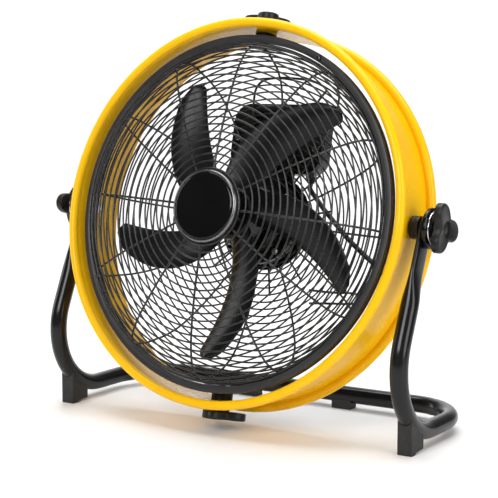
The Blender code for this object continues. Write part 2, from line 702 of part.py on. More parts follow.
def tube_body(name, points, radius, mat, frame, sides=8):
    """Round lead along a run of points."""
    count = len(points)
    rows = []
    across = Vector((0.0, 1.0, 0.0))
    for i, point in enumerate(points):
        tangent = (points[min(i + 1, count - 1)] - points[max(i - 1, 0)]).normalized()
        across = (across - tangent * across.dot(tangent)).normalized()
        over = tangent.cross(across)
        turns = [math.tau * k / sides for k in range(sides)]
        rows.append([point + across * radius * math.cos(t) + over * radius * math.sin(t) for t in turns])
    return finish(name, grid_body(rows, cap=True), mat, frame)


def smooth_run(points, steps=2):
    """Catmull-Rom points through the given ones."""
    ends = [points[0] * 2 - points[1]] + points + [points[-1] * 2 - points[-2]]
    run = []
    for i in range(1, len(ends) - 2):
        p0, p1, p2, p3 = ends[i - 1:i + 3]
        for k in range(steps):
            t = k / steps
            bend = (p0 * 2 - p1 * 5 + p2 * 4 - p3) * t * t + (p1 * 3 - p0 - p2 * 3 + p3) * t ** 3
            run.append((p1 * 2 + (p2 - p0) * t + bend) * 0.5)
    run.append(points[-1])
    return run


def build_lead(box):
    """Supply lead from the control box, held along the guard to its rim."""
    mouth = Vector((0.0460, 0.0800, 0.0))
    at_mouth = DRUM @ Matrix.Translation(mouth)
    hole(box, LEAD_R + GAP, 0.0600, 0.0720, upright_axis(1), at_mouth, segments=12)
    gland = [(LEAD_R + GAP, 0.0657), (0.0075, 0.0657), (0.0075, 0.0610)]
    gland += [(0.0055, 0.0570), (LEAD_R + GAP, 0.0570)]
    lathe("lead_gland", gland, upright_axis(1), 14, "black_plastic", at_mouth, ring=True)
    run = [mouth + Vector((0.0, 0.0, z)) for z in (0.0710, 0.0630, 0.0560, 0.0490)]
    run += LEAD_RUN
    exit_in, exit_out = LEAD_EXIT
    onward = (exit_out - exit_in).normalized()
    run += [exit_in, exit_in + onward * 0.0080, exit_out]
    tube_body("supply_lead", smooth_run(run), LEAD_R, "cable", DRUM)
    aim = Vector((1.0, 0.0, 0.0)).rotation_difference(onward).to_matrix().to_4x4()
    at_exit = DRUM @ Matrix.Translation(exit_in) @ aim
    sleeve = [(LEAD_R + GAP, 0.0100), (0.0060, 0.0100), (0.0060, 0.0260), (LEAD_R + GAP, 0.0260)]
    lathe("lead_clamp", sleeve, side_axis(1), 14, "rubber", at_exit, ring=True)


def build_all():
    clear_scene()
    build_stand_tube()
    build_feet()
    build_drum()
    for label, side in (("left", -1), ("right", 1)):
        build_pivot_side(label, side)
    for label, side in (("top", 1), ("bottom", -1)):
        build_swivel_side(label, side)
    build_knobs()
    build_guards()
    build_badge()
    build_impeller()
    build_motor()
    build_motor_mount()
    build_lead(build_control())


build_all()
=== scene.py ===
"""Looks of the drum air mover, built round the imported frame.

Local coordinates in the drum frame: x to the right seen from the front,
y towards the back along the fan axis, z up the drum. Distances named `a`
run forwards from the pivot, so y = -a. Units are metres.
"""
import json
import math

import bmesh
import bpy
from mathutils import Matrix, Vector


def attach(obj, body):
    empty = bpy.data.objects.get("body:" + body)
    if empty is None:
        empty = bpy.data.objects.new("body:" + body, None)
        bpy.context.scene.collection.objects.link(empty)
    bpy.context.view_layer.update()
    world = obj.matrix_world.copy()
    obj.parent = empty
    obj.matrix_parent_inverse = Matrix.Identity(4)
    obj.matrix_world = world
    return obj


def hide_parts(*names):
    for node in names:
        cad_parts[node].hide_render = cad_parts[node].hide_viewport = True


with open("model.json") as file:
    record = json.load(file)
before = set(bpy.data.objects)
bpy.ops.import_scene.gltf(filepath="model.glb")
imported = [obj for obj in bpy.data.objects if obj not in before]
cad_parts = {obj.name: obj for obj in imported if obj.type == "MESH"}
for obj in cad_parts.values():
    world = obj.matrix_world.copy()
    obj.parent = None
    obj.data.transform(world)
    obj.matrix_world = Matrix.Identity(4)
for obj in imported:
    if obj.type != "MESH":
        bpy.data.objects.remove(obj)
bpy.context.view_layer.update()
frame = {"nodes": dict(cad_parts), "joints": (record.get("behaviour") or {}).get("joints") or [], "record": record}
NODES = frame["nodes"]
JOINTS = {joint["name"]: joint for joint in frame["joints"]}

# The frame's own lines: tilt pivot, fan axis and swivel axis ----------------
PIVOT_POINT = Vector(JOINTS["drum_tilt"]["pos_m"])
FORWARD = Vector(JOINTS["fan_spin"]["axis"]).normalized()
UPWARD = Vector(JOINTS["cage_swivel"]["axis"]).normalized()
STAND = Matrix.Translation((0.0, PIVOT_POINT.y, 0.0))
PIVOT = Matrix.Translation(PIVOT_POINT)
TURN = Matrix(((1.0, 0.0, 0.0), tuple(-FORWARD), tuple(UPWARD))).transposed()
DRUM = PIVOT @ TURN.to_4x4()


def local_box(node, frame_matrix):
    """A node's lowest and highest corners, measured in a turned frame."""
    inverse = frame_matrix.inverted()
    points = [inverse @ v.co for v in NODES[node].data.vertices]
    low = Vector([min(p[k] for p in points) for k in range(3)])
    high = Vector([max(p[k] for p in points) for k in range(3)])
    return low, high


def reach(node):
    """Inner and outer radius of a node about the fan axis."""
    inverse = DRUM.inverted()
    sizes = [math.hypot(p.x, p.z) for p in (inverse @ v.co for v in NODES[node].data.vertices)]
    return min(sizes), max(sizes)


# Materials ------------------------------------------------------------------
def node_of(tree, kind, **values):
    made = tree.nodes.new(kind)
    for key, value in values.items():
        made.inputs[key.replace("_", " ")].default_value = value
    return made


def noise_node(tree, scale, detail=3.0, rough=0.5):
    """Noise in the object's own metres, so its grain has a real size."""
    place = tree.nodes.get("place") or tree.nodes.new("ShaderNodeTexCoord")
    place.name = "place"
    made = node_of(tree, "ShaderNodeTexNoise", Scale=scale, Detail=detail, Roughness=rough)
    tree.links.new(place.outputs["Object"], made.inputs["Vector"])
    return made


def ramp_node(tree, source, low, high, start=0.35, end=0.65):
    """Two colours or two greys spread over a noise."""
    made = tree.nodes.new("ShaderNodeValToRGB")
    made.color_ramp.elements[0].position = start
    made.color_ramp.elements[1].position = end
    made.color_ramp.elements[0].color = low
    made.color_ramp.elements[1].color = high
    tree.links.new(source.outputs["Fac"], made.inputs["Fac"])
    return made


def range_node(tree, source, low, high):
    made = tree.nodes.new("ShaderNodeMapRange")
    made.inputs["From Min"].default_value = 0.3
    made.inputs["From Max"].default_value = 0.7
    made.inputs["To Min"].default_value = low
    made.inputs["To Max"].default_value = high
    tree.links.new(source, made.inputs["Value"])
    return made


def surface(name, dark, light, rough, metal=0.0, coat=0.0, patch=14.0, grains=(), specular=0.5):
    """Material with a drifting colour, a drifting roughness and layered grain.

    grains is a list of (noise scale, bump depth in metres, strength).
    """
    mat = bpy.data.materials.new(name)
    mat.use_nodes = True
    tree = mat.node_tree
    shader = tree.nodes["Principled BSDF"]
    shader.inputs["Metallic"].default_value = metal
    shader.inputs["Coat Weight"].default_value = coat
    shader.inputs["Coat Roughness"].default_value = 0.06
    shader.inputs["Specular IOR Level"].default_value = specular
    drift = noise_node(tree, patch, 5.0, 0.6)
    colour = ramp_node(tree, drift, (*dark, 1.0), (*light, 1.0))
    tree.links.new(colour.outputs["Color"], shader.inputs["Base Color"])
    smear = noise_node(tree, patch * 3.0, 6.0, 0.65)
    gloss = range_node(tree, smear.outputs["Fac"], rough[0], rough[1])
    tree.links.new(gloss.outputs["Result"], shader.inputs["Roughness"])
    normal = None
    for scale, depth, strength in grains:
        grain = noise_node(tree, scale, 2.0, 0.5)
        bump = node_of(tree, "ShaderNodeBump", Strength=strength, Distance=depth)
        tree.links.new(grain.outputs["Fac"], bump.inputs["Height"])
        if normal is not None:
            tree.links.new(normal.outputs["Normal"], bump.inputs["Normal"])
        normal = bump
    if normal is not None:
        tree.links.new(normal.outputs["Normal"], shader.inputs["Normal"])
    return mat


def make_materials():
    """One finished material for each slot of the record, and three more looks."""
    peel = (900.0, 0.0002, 0.10)
    made = {}
    made["yellow_paint"] = surface(
        "yellow_paint", (0.880, 0.470, 0.003), (0.930, 0.520, 0.004), (0.22, 0.30),
        coat=0.08, specular=0.15, patch=9.0, grains=[(650.0, 0.0002, 0.06), (40.0, 0.0006, 0.05)])
    made["black_paint"] = surface(
        "black_paint", (0.0040, 0.0040, 0.0043), (0.0070, 0.0070, 0.0074), (0.16, 0.24),
        coat=0.08, specular=0.28, patch=16.0, grains=[peel])
    made["black_plastic"] = surface(
        "black_plastic", (0.0060, 0.0060, 0.0064), (0.0095, 0.0095, 0.0100), (0.32, 0.42),
        specular=0.32, patch=22.0, grains=[(1800.0, 0.0002, 0.22), (260.0, 0.0003, 0.05)])
    made["gloss_plastic"] = surface(
        "gloss_plastic", (0.0020, 0.0020, 0.0022), (0.0034, 0.0034, 0.0037), (0.07, 0.12),
        specular=0.25, patch=20.0, grains=[(120.0, 0.0002, 0.02)])
    made["charcoal_paint"] = surface(
        "charcoal_paint", (0.022, 0.021, 0.023), (0.032, 0.031, 0.033), (0.30, 0.42),
        patch=26.0, grains=[(1100.0, 0.0002, 0.20)])
    made["rubber"] = surface(
        "rubber", (0.0100, 0.0100, 0.0100), (0.0170, 0.0165, 0.0160), (0.52, 0.68),
        patch=60.0, grains=[(1500.0, 0.0003, 0.35)])
    made["chrome"] = surface(
        "chrome", (0.62, 0.62, 0.64), (0.70, 0.70, 0.72), (0.10, 0.20),
        metal=1.0, patch=30.0, grains=[(500.0, 0.0001, 0.04)])
    made["steel"] = surface(
        "steel", (0.46, 0.46, 0.47), (0.60, 0.60, 0.61), (0.22, 0.38),
        metal=1.0, patch=120.0, grains=[(1400.0, 0.0001, 0.12)])
    made["dark_steel"] = surface(
        "dark_steel", (0.060, 0.060, 0.063), (0.095, 0.095, 0.100), (0.32, 0.46),
        metal=1.0, patch=90.0, grains=[(1200.0, 0.0001, 0.15)])
    made["copper"] = surface(
        "copper", (0.42, 0.17, 0.08), (0.58, 0.26, 0.13), (0.28, 0.42),
        metal=1.0, patch=70.0, grains=[(900.0, 0.0003, 0.40)])
    made["cable"] = surface(
        "cable", (0.0090, 0.0090, 0.0095), (0.0140, 0.0140, 0.0145), (0.40, 0.52),
        patch=50.0, grains=[(1300.0, 0.0002, 0.20)])
    made["blade_plastic"] = surface(
        "blade_plastic", (0.0040, 0.0040, 0.0045), (0.0070, 0.0070, 0.0077), (0.20, 0.28),
        specular=0.30, patch=12.0, grains=[(1500.0, 0.0001, 0.10), (90.0, 0.0005, 0.06)])
    made["dull_chrome"] = surface(
        "dull_chrome", (0.16, 0.16, 0.17), (0.22, 0.22, 0.23), (0.22, 0.34),
        metal=1.0, patch=30.0, grains=[(600.0, 0.0001, 0.05)])
    made["wire_paint"] = surface(
        "wire_paint", (0.0065, 0.0065, 0.0070), (0.0110, 0.0110, 0.0115), (0.24, 0.34),
        coat=0.15, patch=40.0, grains=[(1400.0, 0.0001, 0.12)])
    return made


MATERIALS = make_materials()
SLOT_OF = {row["node"]: row["material_slot"] for row in frame["record"]["subparts"]}
BODY_OF = {node: body for body, nodes in frame["record"]["behaviour"]["bodies"].items() for node in nodes}


def dress_frame():
    """Every node of the frame gets the finished material of its slot."""
    for node, obj in NODES.items():
        obj.data.materials.clear()
        obj.data.materials.append(MATERIALS[SLOT_OF[node]])


# Mesh tools -----------------------------------------------------------------
def piece(name, bm, frame_matrix, node, look=None, crease=38.0):
    """Finished object that stands for a node and rides on its body."""
    bmesh.ops.remove_doubles(bm, verts=bm.verts, dist=1e-7)
    bmesh.ops.recalc_face_normals(bm, faces=bm.faces)
    mesh = bpy.data.meshes.new(name)
    bm.to_mesh(mesh)
    bm.free()
    for poly in mesh.polygons:
        poly.use_smooth = True
    mesh.set_sharp_from_angle(angle=math.radians(crease))
    mesh.materials.append(MATERIALS[look or SLOT_OF[node]])
    mesh.transform(frame_matrix)
    obj = bpy.data.objects.new(name, mesh)
    bpy.context.scene.collection.objects.link(obj)
    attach(obj, BODY_OF[node])
    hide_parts(node)


def skin(bm, rows, wrap=False, cap=False):
    """Skin rings of points into bm; a one-point row is a pole."""
    made = [[bm.verts.new(p) for p in row] for row in rows]
    pairs = list(zip(made[:-1], made[1:]))
    if wrap:
        pairs.append((made[-1], made[0]))
    for low, high in pairs:
        count = max(len(low), len(high))
        for i in range(count):
            j = (i + 1) % count
            if len(low) == 1:
                bm.faces.new((low[0], high[j], high[i]))
            elif len(high) == 1:
                bm.faces.new((low[i], low[j], high[0]))
            else:
                bm.faces.new((low[i], low[j], high[j], high[i]))
    if cap:
        bm.faces.new(made[0])
        bm.faces.new(made[-1])
    return bm


def fan_axis(r, a, turn):
    """Point at radius r and distance a in front of the pivot."""
    return Vector((r * math.cos(turn), -a, r * math.sin(turn)))


def side_axis(side):
    return lambda r, h, turn: Vector((side * h, r * math.cos(turn), r * math.sin(turn)))


def upright_axis(side):
    return lambda r, h, turn: Vector((r * math.cos(turn), r * math.sin(turn), side * h))


def lathe_rows(profile, axis, segments):
    rows = []
    for r, h in profile:
        if r < 1e-9:
            rows.append([axis(0.0, h, 0.0)])
        else:
            rows.append([axis(r, h, math.tau * i / segments) for i in range(segments)])
    return rows


def lathe(bm, profile, axis, segments, ring=False, spot=Vector((0.0, 0.0, 0.0))):
    rows = [[p + spot for p in row] for row in lathe_rows(profile, axis, segments)]
    return skin(bm, rows, wrap=ring)


def rounded(profile, radius, steps=5, ring=False):
    """Round the corners of an (r, h) profile with short arcs."""
    count = len(profile)
    points = []
    for i in range(count):
        here = Vector(profile[i])
        if not ring and i in (0, count - 1):
            points.append(tuple(here))
            continue
        back = Vector(profile[i - 1]) - here
        on = Vector(profile[(i + 1) % count]) - here
        reach_back = min(radius, back.length * 0.45)
        reach_on = min(radius, on.length * 0.45)
        start = here + back.normalized() * reach_back
        end = here + on.normalized() * reach_on
        for k in range(steps + 1):
            t = k / steps
            spot = start * (1 - t) ** 2 + here * (2 * t * (1 - t)) + end * t ** 2
            points.append(tuple(spot))
    return points


def frames_along(path, first=Vector((1.0, 0.0, 0.0))):
    """Point, across and over vectors along a path, turning smoothly."""
    count = len(path)
    across = first
    made = []
    for i, point in enumerate(path):
        ahead = path[min(i + 1, count - 1)]
        behind = path[max(i - 1, 0)]
        tangent = (ahead - behind).normalized()
        across = (across - tangent * across.dot(tangent)).normalized()
        made.append((point, across, tangent.cross(across)))
    return made


def tube(bm, path, radius, sides=8, first=Vector((0.0, 1.0, 0.0)), taper=False):
    """Round wire along a path with closed ends."""
    rows = []
    turns = [math.tau * k / sides for k in range(sides)]
    for point, across, over in frames_along(path, first=first):
        rows.append([point + (across * math.cos(t) + over * math.sin(t)) * radius for t in turns])
    if taper:
        for index, inward in ((0, 1), (-1, -2)):
            end = sum(rows[index], Vector()) / sides
            away = (end - sum(rows[inward], Vector()) / sides).normalized()
            lip = [end + (p - end) * 0.55 + away * radius * 0.55 for p in rows[index]]
            rows.insert(0, lip) if index == 0 else rows.append(lip)
    return skin(bm, rows, cap=True)


def catmull(points, steps):
    """Smooth run through the given points."""
    ends = [points[0] * 2 - points[1]] + points + [points[-1] * 2 - points[-2]]
    run = []
    for i in range(1, len(ends) - 2):
        p0, p1, p2, p3 = ends[i - 1:i + 3]
        for k in range(steps):
            t = k / steps
            bend = (p0 * 2 - p1 * 5 + p2 * 4 - p3) * t * t + (p1 * 3 - p0 - p2 * 3 + p3) * t ** 3
            run.append((p1 * 2 + (p2 - p0) * t + bend) * 0.5)
    run.append(points[-1])
    return run


# Stage: camera, floor and lights --------------------------------------------
LENS = 108.2
SENSOR = 36.0
CAMERA_FROM_PIVOT = Vector((1.0370, -1.6110, 0.2010))
AIM_FROM_PIVOT = Vector((0.0076, -0.0003, -0.0421))
SWEEP_TURN = math.radians(32.7)


def aim(obj, target):
    obj.rotation_euler = (target - obj.location).to_track_quat('-Z', 'Y').to_euler()


def build_camera():
    bpy.context.scene.view_settings.view_transform = 'Standard'
    data = bpy.data.cameras.new("camera")
    data.lens = LENS
    data.sensor_width = SENSOR
    camera = bpy.data.objects.new("camera", data)
    bpy.context.scene.collection.objects.link(camera)
    camera.location = PIVOT_POINT + CAMERA_FROM_PIVOT
    aim(camera, PIVOT_POINT + AIM_FROM_PIVOT)
    bpy.context.scene.camera = camera


def softbox(name, place, size, power, target=None):
    data = bpy.data.lights.new(name, 'AREA')
    data.shape = 'RECTANGLE'
    data.size = size[0]
    data.size_y = size[1]
    data.energy = power
    light = bpy.data.objects.new(name, data)
    bpy.context.scene.collection.objects.link(light)
    light.location = Vector(place)
    aim(light, PIVOT_POINT if target is None else Vector(target))


def build_stage():
    """Pale sweep that rises behind the object, and soft boxes round it."""
    bm = bmesh.new()
    bend, back, wide = 1.2, 4.6, 8.0
    profile = [(-6.0, 0.0), (back - bend, 0.0)]
    for k in range(1, 13):
        turn = math.radians(90.0 * k / 12)
        profile.append((back - bend + bend * math.sin(turn), bend - bend * math.cos(turn)))
    profile.append((back, 5.0))
    rows = [[Vector((x, y, z)) for x in (-wide, wide)] for y, z in profile]
    made = [[bm.verts.new(p) for p in row] for row in rows]
    for low, high in zip(made[:-1], made[1:]):
        bm.faces.new((low[0], low[1], high[1], high[0]))
    mesh = bpy.data.meshes.new("sweep")
    bm.to_mesh(mesh)
    bm.free()
    for poly in mesh.polygons:
        poly.use_smooth = True
    sweep = bpy.data.objects.new("sweep", mesh)
    sweep.rotation_euler = (0.0, 0.0, SWEEP_TURN)
    bpy.context.scene.collection.objects.link(sweep)
    pale = surface("pale_floor", (0.86, 0.86, 0.86), (0.90, 0.90, 0.90), (0.45, 0.60), patch=2.0)
    mesh.materials.append(pale)
    softbox("overhead", (0.0, 0.1, 2.3), (2.2, 2.0), 52.0)
    softbox("front_high", (0.10, -2.30, 1.40), (1.3, 0.8), 30.0)
    softbox("right_box", (2.4, -0.5, 1.1), (1.1, 1.7), 30.0)
    softbox("left_box", (-2.3, -0.5, 0.9), (0.9, 1.5), 13.0)
    softbox("back_wash", (-0.4, 0.9, 2.6), (2.4, 1.2), 26.0, target=(-1.4, 2.4, 0.6))
    softbox("wall_wash", (-1.5, 2.6, 2.8), (2.4, 1.2), 60.0, target=(-2.5, 4.1, 0.5))
    world = bpy.data.worlds.new("studio")
    world.use_nodes = True
    world.node_tree.nodes["Background"].inputs["Color"].default_value = (0.94, 0.95, 0.97, 1.0)
    world.node_tree.nodes["Background"].inputs["Strength"].default_value = 0.16
    bpy.context.scene.world = world


# Drum -----------------------------------------------------------------------
BEAD_RADIUS = 0.0060
BEAD_START = -128.0
BEAD_ARC = 348.0
BEAD_TURNS = 26
WALL = 0.0015


def build_drum():
    """Spun drum: thin wall, both edges rolled outwards into round beads."""
    low = local_box("drum_shell", DRUM)[0]
    inner, outer = reach("drum_shell")
    bead_r = outer - BEAD_RADIUS
    bead_a = -low.y - BEAD_RADIUS

    def bead(sign):
        points = []
        for i in range(BEAD_TURNS + 1):
            turn = math.radians(BEAD_START + BEAD_ARC * i / BEAD_TURNS)
            r = bead_r + BEAD_RADIUS * math.cos(turn)
            points.append((r, sign * (bead_a + BEAD_RADIUS * math.sin(turn))))
        return points

    front = bead(1)
    rear = bead(-1)[::-1]
    front[0] = (inner + WALL, front[0][1])
    front[-1] = (inner, front[-1][1])
    rear[0] = (inner, rear[0][1])
    rear[-1] = (inner + WALL, rear[-1][1])
    inside = [(inner, front[-1][1] + (rear[0][1] - front[-1][1]) * k / 6) for k in range(1, 6)]
    outside = [(inner + WALL, rear[-1][1] + (front[0][1] - rear[-1][1]) * k / 6) for k in range(1, 6)]
    bm = lathe(bmesh.new(), front + inside + rear + outside, fan_axis, 256, ring=True)
    piece("drum_rolled_shell", bm, DRUM, "drum_shell", crease=60.0)


# Guards ---------------------------------------------------------------------
WIRE = 0.00115
RIB_WIRE = 0.0014
RING_STEP = 0.0094
FRONT_TURN = math.radians(27.0)
REAR_TURN = math.radians(26.2)
RIBS = 12
RIM_R = 0.2168
SHORT_RIB_START = 0.80
HOOK_WIRE = 0.0016


def even_run(points):
    """Smooth run through (r, a) points and the length at each of them."""
    run = catmull([Vector((r, a, 0.0)) for r, a in points], 12)
    marks = [0.0]
    for p, q in zip(run[:-1], run[1:]):
        marks.append(marks[-1] + (q - p).length)
    return run, marks


def at_length(run, marks, distance):
    for i in range(len(run) - 1):
        if distance <= marks[i + 1]:
            part = (distance - marks[i]) / max(1e-9, marks[i + 1] - marks[i])
            return run[i].lerp(run[i + 1], part)
    return run[-1]


def add_rib(bm, run, marks, turn, inward, start=0.0):
    """One rib laid on the inner side of the hoops, from start to the middle."""
    length = marks[-1]
    steps = 36
    sideways = Vector((-math.sin(turn), 0.0, math.cos(turn)))
    path = []
    for i in range(steps + 1):
        here = length * (start + (1.0 - start) * i / steps)
        spot = at_length(run, marks, here)
        ahead = at_length(run, marks, min(length, here + length / steps))
        behind = at_length(run, marks, max(0.0, here - length / steps))
        slope = (ahead - behind).normalized()
        out = Vector((slope.y, -slope.x, 0.0))
        if out.y * inward < 0:
            out = -out
        spot = spot + out * (WIRE + RIB_WIRE) * 0.8
        path.append(fan_axis(spot.x, spot.y, turn))
    tube(bm, path, RIB_WIRE, 8, first=sideways)


def build_guard(name, node, points, rib_turn, short_start=None, extra=None):
    """Welded wire guard: close hoops on a dished profile, tied by ribs.

    short_start adds a short rib between each pair, near the middle only.
    """
    run, marks = even_run(points)
    bm = bmesh.new()
    count = round(marks[-1] / RING_STEP)
    for k in range(count + 1):
        spot = at_length(run, marks, marks[-1] * k / count)
        thick = WIRE * (1.35 if k in (0, count) else 1.0)
        hoop = []
        for s in range(8):
            turn = math.tau * s / 8
            hoop.append((spot.x + thick * math.cos(turn), spot.y + thick * math.sin(turn)))
        lathe(bm, hoop, fan_axis, 168, ring=True)
    inward = -1.0 if points[-1][1] > points[0][1] else 1.0
    for m in range(RIBS):
        turn = rib_turn + math.tau * m / RIBS
        add_rib(bm, run, marks, turn, inward)
        if short_start:
            add_rib(bm, run, marks, turn + math.pi / RIBS, inward, short_start)
    if extra:
        extra(bm)
    piece(name, bm, DRUM, node, look="wire_paint", crease=60.0)


def build_guards():
    front = [(RIM_R, 0.0352), (0.2155, 0.0430), (0.2095, 0.0540), (0.1980, 0.0635)]
    front += [(0.1750, 0.0730), (0.1400, 0.0805), (0.1000, 0.0855), (0.0640, 0.0880), (0.0478, 0.0884)]
    build_guard("front_guard_wires", "front_guard", front, FRONT_TURN)
    rear = [(RIM_R, 0.0285), (0.2148, 0.0150), (0.2078, 0.0), (0.1968, -0.0190)]
    rear += [(0.1758, -0.0368), (0.1400, -0.0498), (0.0980, -0.0563), (0.0590, -0.0576)]
    build_guard("rear_guard_wires", "rear_guard", rear, REAR_TURN, SHORT_RIB_START, cord_hooks)
    build_clamp_band()


def cord_hooks(bm):
    """Bent wire loops welded to the back of the rear guard, to hang the cord."""
    upper = [(-0.0385, 0.0545, 0.1360), (-0.0370, 0.0475, 0.1560), (-0.0310, 0.0400, 0.1750)]
    upper += [(-0.0170, 0.0350, 0.1850), (0.0040, 0.0335, 0.1880), (0.0230, 0.0330, 0.1880)]
    upper += [(0.0530, 0.0320, 0.1850), (0.0720, 0.0330, 0.1790), (0.0790, 0.0350, 0.1730)]
    upper += [(0.0700, 0.0400, 0.1650), (0.0600, 0.0455, 0.1560)]
    lower = [(0.0745, 0.0600, -0.0840), (0.1100, 0.0575, -0.0845), (0.1430, 0.0475, -0.0835)]
    lower += [(0.1560, 0.0415, -0.0860), (0.1590, 0.0385, -0.0910), (0.1570, 0.0375, -0.0955)]
    lower += [(0.1430, 0.0430, -0.0975), (0.1100, 0.0530, -0.0990), (0.0782, 0.0580, -0.1010)]
    for points in (upper, lower):
        path = catmull([Vector(p) for p in points], 6)
        tube(bm, path, HOOK_WIRE, 10, first=Vector((0.0, 1.0, 0.0)), taper=True)


def build_clamp_band():
    """Band that holds the two guards together: a shallow channel with lips."""
    low, high = local_box("guard_ring", DRUM)
    inner, outer = reach("guard_ring")
    a0, a1 = -high.y, -low.y
    rim, step = 0.0016, 0.0009
    band = [(inner, a0), (outer, a0), (outer, a0 + 2 * rim), (outer - step, a0 + 3 * rim)]
    band += [(outer - step, a1 - 3 * rim), (outer, a1 - 2 * rim), (outer, a1), (inner + 0.0030, a1)]
    band += [(inner + 0.0022, a1 - 0.0008), (inner, a1 - 0.0008)]
    bm = lathe(bmesh.new(), rounded(band, 0.0009, 3, ring=True), fan_axis, 240, ring=True)
    piece("guard_clamp_band", bm, DRUM, "guard_ring")


# Badge ----------------------------------------------------------------------
def build_badge():
    low, high = local_box("hub_badge", DRUM)
    r, back, face = high.x, -high.y, -low.y
    edge, shoulder = face - 0.0040, 0.0045
    disc = [(0.0, back), (r - 0.0014, back), (r, back + 0.0020), (r, edge - 0.0008)]
    for k in range(1, 9):
        turn = math.radians(90.0 * k / 8)
        disc.append((r - shoulder + shoulder * math.cos(turn), edge + 0.0022 * math.sin(turn)))
    dome_r = disc[-1][0]
    dome_a = disc[-1][1]
    for k in range(1, 17):
        part = k / 16
        disc.append((dome_r * (1.0 - part), dome_a + (face - dome_a) * (1.0 - (1.0 - part) ** 2)))
    bm = lathe(bmesh.new(), disc, fan_axis, 128)
    piece("badge_dome", bm, DRUM, "hub_badge", crease=50.0)
    low, high = local_box("badge_trim_ring", DRUM)
    inner, outer = reach("badge_trim_ring")
    a0, a1 = -high.y, -low.y
    trim = [(inner, a0), (outer, a0)]
    for k in range(7):
        turn = math.radians(90.0 * k / 6)
        trim.append((inner + 0.0008 + (outer - inner - 0.0008) * math.cos(turn),
                     a0 + 0.0010 + (a1 - a0 - 0.0010) * math.sin(turn)))
    trim.append((inner, a1))
    bm = lathe(bmesh.new(), trim, fan_axis, 128, ring=True)
    piece("badge_rim", bm, DRUM, "badge_trim_ring", look="dull_chrome", crease=50.0)


# Impeller -------------------------------------------------------------------
BLADES = 5
BLADE_ROOT = 0.0320
BLADE_PITCH, PITCH_LOSS = 24.2, 10.0
BLADE_AHEAD, AHEAD_LOSS = 0.0266, 0.0119
BLADE_CAMBER = 0.0025
BLADE_FIRST = math.radians(84.2)
BLADE_SWEEP = math.radians(37.8)


def blade_width(u):
    """Chord from root to tip: broadest past the middle, round at the tip."""
    w = 1.0 - u
    body = 0.0420 * w ** 3 + 0.1692 * w ** 2 * u + 0.2202 * w * u ** 2 + 0.0300 * u ** 3
    ease = max(0.0, (u - 0.93) / 0.07)
    return max(0.0100, body * math.sqrt(max(0.0, 1.0 - ease ** 2)))


def blade_point(u, v, first, tip):
    """u runs root to tip, v from one long edge to the other."""
    r = BLADE_ROOT + (tip - BLADE_ROOT) * u
    middle = first - BLADE_SWEEP * u
    pitch = math.radians(BLADE_PITCH - PITCH_LOSS * u)
    offset = (v - 0.5) * blade_width(u)
    camber = BLADE_CAMBER * (1.0 - (2.0 * v - 1.0) ** 2)
    ahead = BLADE_AHEAD - AHEAD_LOSS * u - offset * math.tan(pitch) + camber
    return r, ahead, middle - offset / r


def blade(bm, first, tip):
    """One moulded blade, thickest in the middle, with eased edges."""
    spans, chords = 44, 18
    sheets = []
    for side in (-1, 1):
        sheet = []
        for i in range(spans + 1):
            u = 1.0 - (1.0 - i / spans) ** 1.5
            row = []
            for j in range(chords + 1):
                v = 0.5 - 0.5 * math.cos(math.pi * j / chords)
                r, a, turn = blade_point(u, v, first, tip)
                edge = max(0.0, 1.0 - (2.0 * v - 1.0) ** 2) ** 0.5
                ease = min(1.0, (1.0 - u) / 0.04) ** 0.5
                thick = 0.0003 + 0.0011 * edge * (0.35 + 0.65 * ease)
                row.append(bm.verts.new(fan_axis(r, a + side * thick, turn)))
            sheet.append(row)
        sheets.append(sheet)
    for sheet in sheets:
        for i in range(spans):
            for j in range(chords):
                bm.faces.new((sheet[i][j], sheet[i + 1][j], sheet[i + 1][j + 1], sheet[i][j + 1]))
    low, high = sheets
    rim = [(i, 0) for i in range(spans + 1)]
    rim += [(spans, j) for j in range(1, chords + 1)]
    rim += [(i, chords) for i in range(spans - 1, -1, -1)]
    rim += [(0, j) for j in range(chords - 1, 0, -1)]
    for (i0, j0), (i1, j1) in zip(rim, rim[1:] + rim[:1]):
        bm.faces.new((low[i0][j0], low[i1][j1], high[i1][j1], high[i0][j0]))


def build_impeller():
    """Hub cup with spokes inside it and five blades."""
    tip = reach("impeller")[1] - 0.0003
    bm = bmesh.new()
    hub = [(0.0043, 0.0380), (0.0310, 0.0380), (0.0340, 0.0352), (0.0340, -0.0060)]
    hub += [(0.0312, -0.0060), (0.0310, 0.0305), (0.0120, 0.0305), (0.0120, -0.0050), (0.0043, -0.0050)]
    lathe(bm, rounded(hub, 0.0016, 4, ring=True), fan_axis, 96, ring=True)
    for k in range(10):
        turn = math.tau * k / 10 + math.radians(9.0)
        path = [fan_axis(r, 0.0372, turn) for r in (0.0130, 0.0200, 0.0270)]
        tube(bm, path, 0.0012, 8, first=Vector((0.0, 1.0, 0.0)), taper=True)
    for k in range(BLADES):
        blade(bm, BLADE_FIRST + math.tau * k / BLADES, tip)
    piece("impeller_moulding", bm, DRUM, "impeller", look="blade_plastic", crease=50.0)
    nut = [(0.0, 0.0455), (0.0043, 0.0455), (0.0043, 0.0383), (0.0085, 0.0383), (0.0096, 0.0394)]
    nut += [(0.0095, 0.0440), (0.0080, 0.0470), (0.0060, 0.0489), (0.0030, 0.0499), (0.0, 0.0500)]
    bm = lathe(bmesh.new(), rounded(nut, 0.0006, 3), fan_axis, 48)
    for k in range(6):
        turn = math.tau * k / 6
        path = [fan_axis(0.0096, a, turn) for a in (0.0400, 0.0420, 0.0438)]
        tube(bm, path, 0.0010, 6, first=Vector((1.0, 0.0, 0.2)), taper=True)
    piece("impeller_cap_nut", bm, DRUM, "impeller_nut")


